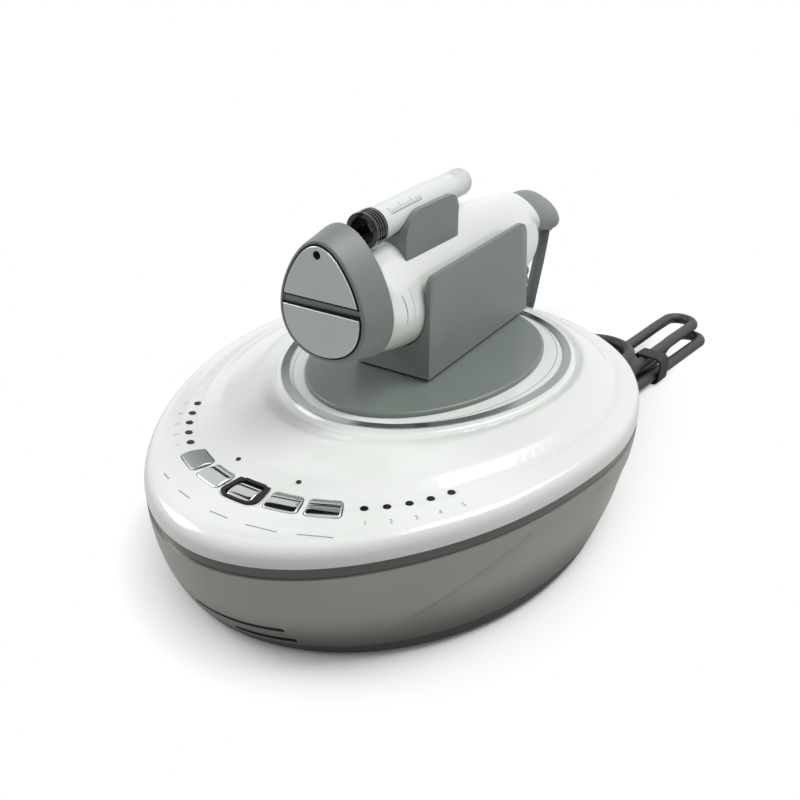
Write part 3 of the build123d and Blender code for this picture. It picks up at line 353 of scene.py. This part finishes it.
def dressed(node, name, body, material, shape=None, edge=0.0):
    # a merged copy of a CAD piece is shaped further, or its sharp edges rounded, and shown in its place
    build = bmesh.new()
    build.from_mesh(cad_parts[node].data)
    bmesh.ops.remove_doubles(build, verts=build.verts, dist=mergeGap * mm)
    if shape:
        shape(build)
    piece = linked(name, meshFrom(build, name), material)
    smooth(piece)
    if edge:
        rounding = piece.modifiers.new("edge", "BEVEL")
        rounding.width = edge * mm
        rounding.segments = 3
        rounding.limit_method = "ANGLE"
        rounding.angle_limit = radians(50)
        rounding.harden_normals = True
    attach(piece, body)
    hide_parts(node)


# the keys' tops are domed from their inner to their outer edge
keyShape = {"centre": -45.85, "middle": 70.8, "halfDepth": 4.8, "fall": 0.85, "skirt": 1.1, "cuts": 16,
            "keys": (("key_outer_left", -25.5), ("key_inner_left", -13.3), ("power_key", 0.0),
                     ("key_inner_right", 13.3), ("key_outer_right", 25.5))}
for keyNode, keyAngle in keyShape["keys"]:
    outwards = Vector((sin(radians(keyAngle)), -cos(radians(keyAngle)), 0))
    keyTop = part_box(keyNode)[1].z

    def domeTop(build):
        hub = Vector((0, keyShape["centre"] * mm, 0))
        for cut in range(1, keyShape["cuts"]):
            distance = keyShape["middle"] + keyShape["halfDepth"] * (2 * cut / keyShape["cuts"] - 1)
            bmesh.ops.bisect_plane(build, geom=build.verts[:] + build.edges[:] + build.faces[:], dist=1e-7,
                                   plane_co=hub + outwards * distance * mm, plane_no=outwards)
        for vertex in build.verts:
            share = ((vertex.co - hub).dot(outwards) / mm - keyShape["middle"]) / keyShape["halfDepth"]
            upper = max(0.0, 1 - (keyTop - vertex.co.z) / (keyShape["skirt"] * mm))
            vertex.co.z -= keyShape["fall"] * mm * share * share * upper

    words = keyNode.split("_")
    dressed(keyNode, words[0] + "".join(word.title() for word in words[1:]) + "Top", keyNode,
            brushedKey if keyNode == "key_outer_left" else chrome, domeTop)

# each flank has a crease that rises towards the back: a valley, steep above and easy below
crease = {"heights": ((-50.0, 15.5), (-40.7, 21.9), (-31.6, 29.4), (-22.4, 35.5), (-16.4, 37.3),
                      (-9.5, 38.8), (0.7, 38.2), (12.0, 32.1)),
          "halfWidth": 99.0, "halfLength": 124.8, "depth": 1.35, "above": 2.4, "below": 14.0, "fade": 8.0,
          "blur": 3.0, "grid": 1.7, "sweeps": 5, "ahead": 4, "behind": 12, "foot": 9, "top": 43,
          "facing": 0.3, "topFade": 2, "footFade": 3}


def creaseHeight(bearing):
    heights = crease["heights"]
    for (start, low), (end, high) in zip(heights, heights[1:]):
        if bearing <= end:
            return low + (high - low) * max(0.0, (bearing - start) / (end - start))
    return heights[-1][1]


def creaseWall(build):
    # the outer wall is divided finely where the crease runs, then moved in to the crease's depth
    def bearingOf(co):
        across, lengthways = abs(co.x) / mm / crease["halfWidth"], (co.y / mm - shiftY) / crease["halfLength"]
        return atan2(lengthways, across) * 180 / pi

    def fromAxis(co):
        return Vector((co.x, co.y - shiftY * mm, 0))

    foot, top = crease["foot"], crease["top"]
    first, last = crease["heights"][0][0], crease["heights"][-1][0]
    for sweep in range(crease["sweeps"]):
        longEdges = [edge for edge in build.edges if edge.calc_length() > crease["grid"] * mm
                     and first - crease["ahead"] < bearingOf(edge.verts[0].co) < last + crease["behind"]
                     and all(vertex.normal.dot(fromAxis(vertex.co)) > 0 for vertex in edge.verts)
                     and all(foot * mm < vertex.co.z < top * mm for vertex in edge.verts)]
        if not longEdges:
            break
        bmesh.ops.subdivide_edges(build, edges=longEdges, cuts=1)
        bmesh.ops.triangulate(build, faces=[face for face in build.faces if len(face.verts) > 3])
        build.normal_update()
    moves = []
    for vertex in build.verts:
        outwards = Vector((vertex.normal.x, vertex.normal.y, 0))
        bearing = bearingOf(vertex.co)
        if vertex.normal.dot(fromAxis(vertex.co).normalized()) < crease["facing"]:
            continue
        level = vertex.co.z / mm
        spread = [creaseHeight(bearing + shift) for shift in (-crease["blur"], 0, crease["blur"])]
        above = level - sum(spread) / 3
        rise = above / crease["above"] if above > 0 else -above / crease["below"]
        ends = min((bearing - first) / crease["fade"], (last + crease["fade"] - bearing) / crease["fade"],
                   (top - level) / crease["topFade"], (level - foot) / crease["footFade"], 1.0)
        if 0 <= rise < 1 and ends > 0:
            eased = rise * rise * (3 - 2 * rise)
            moves.append((vertex, outwards.normalized() * -crease["depth"] * mm * (1 - eased) * ends))
    for vertex, move in moves:
        vertex.co += move


dressed("lower_housing", "creasedHousing", "base", satinPaint, creaseWall)

# moulded edges of the trough and of the syringe holder are rounded a little
dressed("cradle", "cradleTrough", "base", softTouch, None, 0.9)
dressed("syringe_holder", "syringeCradle", "handpiece", softTouch, None, 0.6)
print("keys, housing and trough shaped")


def bars(build, spans, divisions):
    # flat bars as (x0, x1, y0, y1) in mm, each divided so that it can follow a curved surface
    for x0, x1, y0, y1 in spans:
        grid = bmesh.ops.create_grid(build, x_segments=divisions[0], y_segments=divisions[1],
                                     size=0.5)["verts"]
        middle = Matrix.Translation(((x0 + x1) / 2, (y0 + y1) / 2, 0))
        bmesh.ops.transform(build, matrix=middle @ Matrix.Diagonal((x1 - x0, y1 - y0, 1, 1)), verts=grid)


castFrom = 0.03  # prints are cast from this far above their place, in metres
printLift = 0.04  # and stand this far off the surface, in mm


def drape(name, flat, targets, origin, across, down, ink, body):
    # a flat mesh in mm is cast onto CAD surfaces along down and lifted a hair off them
    corners, faces = [], []
    for target in targets:
        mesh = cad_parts[target].data
        faces += [[len(corners) + corner for corner in face.vertices] for face in mesh.polygons]
        corners += [vertex.co for vertex in mesh.vertices]
    surface = BVHTree.FromPolygons(corners, faces)
    upwards = across.cross(down).normalized()
    for vertex in flat.vertices:
        start = origin + (across * vertex.co.x + upwards * vertex.co.y) * mm - down * castFrom
        hit = surface.ray_cast(start, down)[0]
        vertex.co = hit - down * printLift * mm
    piece = linked(name, flat, ink)
    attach(piece, body)


# screen-printed marks in matt grey ink: plain numbers at the level lights, plain bars under the keys
printInk = substance("screenPrintGreyInk", ("#8E938F", "#9AA09B"), 2, (0.45, 0.6))
marks = {
    "centre": -26.75, "lights": (36.9, 43.5, 50.2, 56.9, 63.9), "rightRadius": 78.0, "leftRadius": 75.2,
    "size": 3.0, "halfLine": 0.25, "overCover": 90,
    "bars": ((-23.0, 84.5, 5.0), (-12.6, 85.0, 7.0), (0.4, 85.5, 8.5), (12.3, 85.5, 12.0),
             (25.3, 85.0, 12.5)),
}
towardsTable = Vector((0, 0, -1))
for side, radius in ((1, marks["rightRadius"]), (-1, marks["leftRadius"])):
    for number, angle in enumerate(marks["lights"]):
        font = bpy.data.curves.new("number", "FONT")
        font.body = str(number + 1)
        font.size = marks["size"]
        font.align_x = "CENTER"
        font.align_y = "CENTER"
        letter = linked("number", font)
        flatNumber = bpy.data.meshes.new_from_object(letter)
        bpy.data.objects.remove(letter)
        turned = radians(side * angle)
        spot = place(radius * sin(turned), marks["centre"] - radius * cos(turned), marks["overCover"])
        drape(f"levelNumber{'Right' if side > 0 else 'Left'}{number + 1}", flatNumber, ["top_cover"], spot,
              Vector((cos(turned), sin(turned), 0)), towardsTable, printInk, "base")
for index, (angle, radius, width) in enumerate(marks["bars"]):
    barBuild = bmesh.new()
    bars(barBuild, [(-width / 2, width / 2, -marks["halfLine"], marks["halfLine"])], (12, 1))
    turned = radians(angle)
    spot = place(radius * sin(turned), marks["centre"] - radius * cos(turned), marks["overCover"])
    drape(f"keyBar{index + 1}", meshFrom(barBuild, "keyBar"), ["top_cover"], spot,
          Vector((cos(turned), sin(turned), 0)), towardsTable, printInk, "base")

# a fine joint line runs round between the mat and the bright ring
jointShade = substance("absJointInShade", ("#8B908C", "#979C98"), 3, (0.45, 0.55))
joint = {"centre": 27.4, "halfWidth": 57.2, "halfLength": 70.4, "fullness": 0.075, "width": 0.3,
         "segments": 128, "overCover": 95}
jointBuild = bmesh.new()
inner = bmesh.ops.create_circle(jointBuild, cap_ends=False, segments=joint["segments"], radius=1.0)["verts"]
outer = bmesh.ops.create_circle(jointBuild, cap_ends=False, segments=joint["segments"], radius=2.0)["verts"]
bmesh.ops.bridge_loops(jointBuild, edges=jointBuild.edges[:])
for vertex in inner + outer:
    beyond = joint["width"] if vertex.co.length > 1.5 else 0.0  # between the two rings' radii
    around = vertex.co.normalized()
    vertex.co.x = (joint["halfWidth"] + beyond) * around.x * (1 + joint["fullness"] * around.y)
    vertex.co.y = joint["centre"] + (joint["halfLength"] + beyond) * around.y
drape("matJointLine", meshFrom(jointBuild, "matJointLine"), ["top_cover"], place(0, 0, joint["overCover"]),
      Vector((1, 0, 0)), towardsTable, jointShade, "base")

# scale along the syringe barrel: pad-printed, fine dark lines
scaleInk = substance("padPrintDarkInk", ("#2A2E2C", "#363A38"), 2, (0.4, 0.5))
scale = {"start": -27.0, "spacing": 1.6, "count": 15, "axis": (0.0, 0.999123, 0.041876),
         "axisHeight": 136.1, "axisAt": -11.23, "lean": 54.0, "halfLine": 0.12, "longTick": 3.0,
         "shortTick": 1.8, "longEvery": 5}
halfLine = scale["halfLine"]
ticks = [(scale["start"], scale["start"] + scale["spacing"] * (scale["count"] - 1), -halfLine, halfLine)]
for index in range(scale["count"]):
    along = scale["start"] + scale["spacing"] * index
    tickEnd = scale["shortTick"] if index % scale["longEvery"] else scale["longTick"]
    ticks.append((along - halfLine, along + halfLine, halfLine, tickEnd))
tickBuild = bmesh.new()
bars(tickBuild, ticks, (4, 4))
barrelAxis = Vector(scale["axis"])
radial = Vector((sin(radians(scale["lean"])), 0, cos(radians(scale["lean"]))))
radial = (radial - barrelAxis * radial.dot(barrelAxis)).normalized()
axisStart = Vector((0, 0, (scale["axisHeight"] - scale["axisAt"] * scale["axis"][2]) * mm))
drape("syringeScale", meshFrom(tickBuild, "syringeScale"), ["syringe_barrel"], axisStart, barrelAxis,
      -radial, scaleInk, "syringe")

# the serum outlet in the upper electrode is drawn as a flat black disc of painted shade over its bore
outletShade = substance("outletBoreInShade", ("#040404", "#080808"), 1, (0.7, 0.9), Specular_IOR_Level=0.1)
outlet = {"height": 133.4, "radius": 1.55, "ahead": -90}
outletBuild = bmesh.new()
bmesh.ops.create_circle(outletBuild, cap_ends=True, segments=32, radius=outlet["radius"])
drape("serumOutletShade", meshFrom(outletBuild, "serumOutletShade"), ["upper_electrode", "head_cap", "serum_inlet"],
      Vector((0, outlet["ahead"] * mm, outlet["height"] * mm)), Vector((1, 0, 0)), Vector((0, 1, 0)),
      outletShade, "handpiece")

# the narrow dark gap round each electrode plate: a flat strip of painted shade on the cap's front, partly
# under the plate;
# the inset operator throws a spike at the outline's shortest edges, so the corners are set out one by one
gapShade = substance("plateGapInShade", ("#0A0B0A", "#121312"), 2, (0.6, 0.8), Specular_IOR_Level=0.2)
plateGap = {"width": 0.7, "under": 0.3, "steepest": 0.5}  # a sharp corner is drawn out twofold at most
capFront = min(vertex.co.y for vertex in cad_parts["head_cap"].data.vertices)
for plate in ("upper", "lower"):
    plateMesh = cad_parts[f"{plate}_electrode"].data
    flatPoints = [(vertex.co.x, vertex.co.z) for vertex in plateMesh.vertices if vertex.co.y < capFront]
    rim = [Vector(flatPoints[corner]) for corner in convex_hull_2d(flatPoints)]
    if sum(a.x * b.y - b.x * a.y for a, b in zip(rim, rim[1:] + rim[:1])) < 0:
        rim.reverse()
    gapBuild = bmesh.new()
    rings = []
    for offset in (-plateGap["under"], plateGap["width"]):
        ring = []
        for index, point in enumerate(rim):
            before = (point - rim[index - 1]).normalized()
            after = (rim[(index + 1) % len(rim)] - point).normalized()
            slant = Vector((before.y + after.y, -before.x - after.x)).normalized()
            straight = max(slant.dot(Vector((before.y, -before.x))), plateGap["steepest"])
            spot = point + slant * offset * mm / straight
            ring.append(gapBuild.verts.new((spot.x, capFront - printLift * mm, spot.y)))
        rings.append(ring)
    for index in range(len(rim)):
        gapBuild.faces.new((rings[0][index - 1], rings[1][index - 1], rings[1][index], rings[0][index]))
    bmesh.ops.recalc_face_normals(gapBuild, faces=gapBuild.faces)
    if sum(face.normal.y for face in gapBuild.faces) > 0:
        bmesh.ops.reverse_faces(gapBuild, faces=gapBuild.faces)
    gapPiece = linked(f"{plate}PlateGap", meshFrom(gapBuild, f"{plate}PlateGap"), gapShade)
    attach(gapPiece, "handpiece")

# two slim finger grooves on each side of the handpiece are drawn as grey lines of painted shade: middle,
# height and half width
grooveShade = substance("absGrooveInShade", ("#6A6E6B", "#787C79"), 3, (0.4, 0.5))
grooves = {"height": 105.0, "places": ((-16.5, 12.5, 0.35), (-9.5, 13.5, 0.16)), "bow": 1.3, "beside": 22}
for side in (1, -1):
    grooveBuild = bmesh.new()
    for middle, tall, wide in grooves["places"]:
        grid = bmesh.ops.create_grid(grooveBuild, x_segments=2, y_segments=16, size=0.5)["verts"]
        for vertex in grid:
            up = vertex.co.y * 2
            slim = wide * sqrt(max(1 - up * up, 0))
            bowed = side * (middle - grooves["bow"] * up * up)
            vertex.co = Vector((bowed + vertex.co.x * 2 * slim, up * tall / 2, 0))
    beside = place(side * grooves["beside"], 0, grooves["height"])
    drape(f"fingerGrooves{'Right' if side > 0 else 'Left'}", meshFrom(grooveBuild, "fingerGrooves"),
          ["handpiece_upper_shell", "handpiece_lower_shell"], beside, Vector((0, side, 0)),
          Vector((-side, 0, 0)), grooveShade, "handpiece")
print("details drawn")

# each cord has loops folded flat: reach, fold, sideways place of the fold, place at the tie out and back;
# run leads into the loops, tailRun and tailEndRun on to the plug, and fall hangs from the handpiece's boot
mainsCord = {
    "diameter": 6.8, "near": (41.0, 137.0), "angle": -9.0, "side": -1, "nearFold": 17.0, "tie": 52.0,
    "loops": [(12.0, 17.0, 0.0, 0.0, 0.0), (18.0, 17.0, 0.0, 0.0, 0.0),
              (116.4, 8.5, -1.3, 5.9, -10.7), (112.9, 7.5, -10.3, -10.0, -17.9)],
    "run": 4.0, "tailRun": 34.0, "tailEndRun": 16.0, "length": 0.96,
}
leadCord = {
    "diameter": 6.5, "near": (-64.0, 172.0), "angle": 5.0, "side": 1, "nearFold": 19.5, "tie": 37.0,
    "loops": [(74.0, 19.5, 0.0, 4.2, -4.2)] * 4,
    "run": 19.9, "returnRun": 18.5, "boot": (0.0, 157.938, 89.707), "gland": (-68.0, 104.0, 22.0),
    "fall": [(0.0, 155.0, 77.5), (0.0, 148.0, 60.0), (-0.5, 142.5, 41.0), (-27.3, 134.4, 30.5)],
    "length": 1.28,
}
layerGap = 0.9
tieWall = 1.3  # strap and its gap under the lowest layer
foldTurns = 5  # control points round half a loop
quarterTurns = 2


def hankAxes(cord):
    bend = radians(cord["angle"])
    near = Vector((*cord["near"], 0))
    ahead = Vector((-sin(bend), cos(bend), 0))
    across = Vector((cos(bend), sin(bend), 0)) * cord["side"]
    return near, ahead, across


def hankPoint(cord, along, out, level):
    near, ahead, across = hankAxes(cord)
    return near + ahead * along + across * out + Vector((0, 0, level))


def hankRoute(cord, quarterEnd):
    # control points of the loops: the bends of each run, then the turns round each fold, and round a slim one
    # also the point before and after on its long straights; near folds climb down a layer
    step = cord["diameter"] + layerGap
    floorLevel = cord["diameter"] / 2 + tieWall
    nearFold, tie = cord["nearFold"], cord["tie"]
    nearReach = sqrt(nearFold ** 2 + (step / 2) ** 2)
    half = pi / (2 * foldTurns)
    quarterHalf = pi / (4 * quarterTurns)

    def run(start, end, level):
        # the two bends of a run that leaves and arrives along the bundle
        rise, span = abs(end[1] - start[1]), abs(end[0] - start[0])
        if rise < 0.01:
            return []
        radius = (span ** 2 + rise ** 2) / (4 * rise)
        corner = radius * tan(atan2(span / 2, radius - rise / 2) / 2)
        way = 1 if end[0] > start[0] else -1
        return [hankPoint(cord, start[0] + way * corner, start[1], level),
                hankPoint(cord, end[0] - way * corner, end[1], level)]

    points = []
    for index, (reach, fold, shift, tieOut, tieBack) in enumerate(cord["loops"]):
        level = floorLevel + (len(cord["loops"]) - 1 - index) * step
        if reach > tie:
            points += run((0, nearFold), (tie, tieOut), level)
            points += run((tie, tieOut), (reach, shift + fold), level)
        for turn in range(-1, foldTurns + 1) if fold < nearFold else range(foldTurns):
            angle = half * (2 * turn + 1)
            points.append(hankPoint(cord, reach + fold * sin(angle) / cos(half),
                                    shift + fold * cos(angle) / cos(half), level))
        if reach > tie:
            points += run((reach, shift - fold), (tie, tieBack), level)
            points += run((tie, tieBack), (0, -nearFold), level)
        if index < len(cord["loops"]) - 1:
            for turn in range(foldTurns):
                angle = half * (2 * turn + 1)
                out = -nearFold * cos(angle) / cos(half)
                points.append(hankPoint(cord, -nearReach * sin(angle) / cos(half), out,
                                        level - step * (out + nearFold) / (2 * nearFold)))
        elif quarterEnd:
            for turn in range(quarterTurns):
                angle = quarterHalf * (2 * turn + 1)
                points.append(hankPoint(cord, -step - nearFold * sin(angle) / cos(quarterHalf),
                                        -nearFold * cos(angle) / cos(quarterHalf), level))
    return points, floorLevel + (len(cord["loops"]) - 1) * step, floorLevel


def toFrame(points):
    return [Vector((p[0] * mm, (p[1] + shiftY) * mm, p[2] * mm)) for p in points]


def cordCurve(name, points, radius):
    curve = bpy.data.curves.new(name, "CURVE")
    curve.dimensions = "3D"
    curve.resolution_u = 8
    curve.bevel_depth = radius
    curve.bevel_resolution = 5
    curve.use_fill_caps = radius > 0
    line = curve.splines.new("NURBS")
    line.points.add(len(points) - 1)
    for knot, point in zip(line.points, points):
        knot.co = (*point, 1.0)
    line.order_u = 3
    line.use_endpoint_u = True
    return linked(name, curve)


route, mainsTop, mainsFloor = hankRoute(mainsCord, True)
bendPoint = hankPoint(mainsCord, -mainsCord["diameter"] - mainsCord["run"], mainsCord["nearFold"], mainsTop)
glandPoint = bendPoint - Vector((0, mainsCord["run"], 0))
tailStart = hankPoint(mainsCord, -mainsCord["diameter"] - layerGap - mainsCord["nearFold"],
                      mainsCord["diameter"], mainsFloor)
tailBend = tailStart + hankAxes(mainsCord)[2] * mainsCord["tailRun"]
plugPoint = tailBend - Vector((mainsCord["tailEndRun"], 0, 0))
mains = cordCurve("mainsCord", toFrame([glandPoint, bendPoint, *route, tailBend, plugPoint]),
                  mainsCord["diameter"] / 2 * mm)
mains.data.materials.append(cordPvc)
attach(mains, "base")
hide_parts("mains_cord", "mains_hank", "mains_tail")

route, leadTop, leadFloor = hankRoute(leadCord, False)
leadBend = hankPoint(leadCord, -leadCord["diameter"] - leadCord["run"], leadCord["nearFold"], leadTop)
returnBend = hankPoint(leadCord, -leadCord["diameter"] - leadCord["returnRun"], -leadCord["nearFold"],
                       leadFloor)
gland = Vector(leadCord["gland"])
leadRoute = [leadCord["boot"], *leadCord["fall"], leadBend, *route, returnBend,
             gland + Vector((0, leadCord["returnRun"], 0)), gland]


def tubeAlong(points, radius, sides):
    # a round tube swept along the line read from the route's spline
    build = bmesh.new()
    previous = None
    side = Vector((1, 0, 0))
    for index, point in enumerate(points):
        heading = (points[min(index + 1, len(points) - 1)] - points[max(index - 1, 0)]).normalized()
        side = (side - heading * side.dot(heading)).normalized()
        spin = Matrix((side, heading.cross(side), heading)).transposed().to_4x4()
        ring = bmesh.ops.create_circle(build, cap_ends=False, segments=sides, radius=radius,
                                       matrix=Matrix.Translation(point) @ spin)["verts"]
        edges = list({edge for vert in ring for edge in vert.link_edges})
        if previous:
            bmesh.ops.bridge_loops(build, edges=previous + edges)
        else:
            bmesh.ops.contextual_create(build, geom=edges)
        previous = edges
    bmesh.ops.contextual_create(build, geom=previous)
    bmesh.ops.recalc_face_normals(build, faces=build.faces)
    return build


guide = cordCurve("leadGuide", toFrame(leadRoute), 0.0)
leadLine = [vertex.co.copy() for vertex in bpy.data.meshes.new_from_object(guide).vertices]
bpy.data.objects.remove(guide)
leadBuild = tubeAlong(leadLine, leadCord["diameter"] / 2 * mm, 16)
lead = linked("handpieceLead", meshFrom(leadBuild, "handpieceLead"), leadTpe)
smooth(lead, 50)
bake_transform(lead)
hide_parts("handpiece_lead", "lead_hank", "lead_return")
print("cords laid")
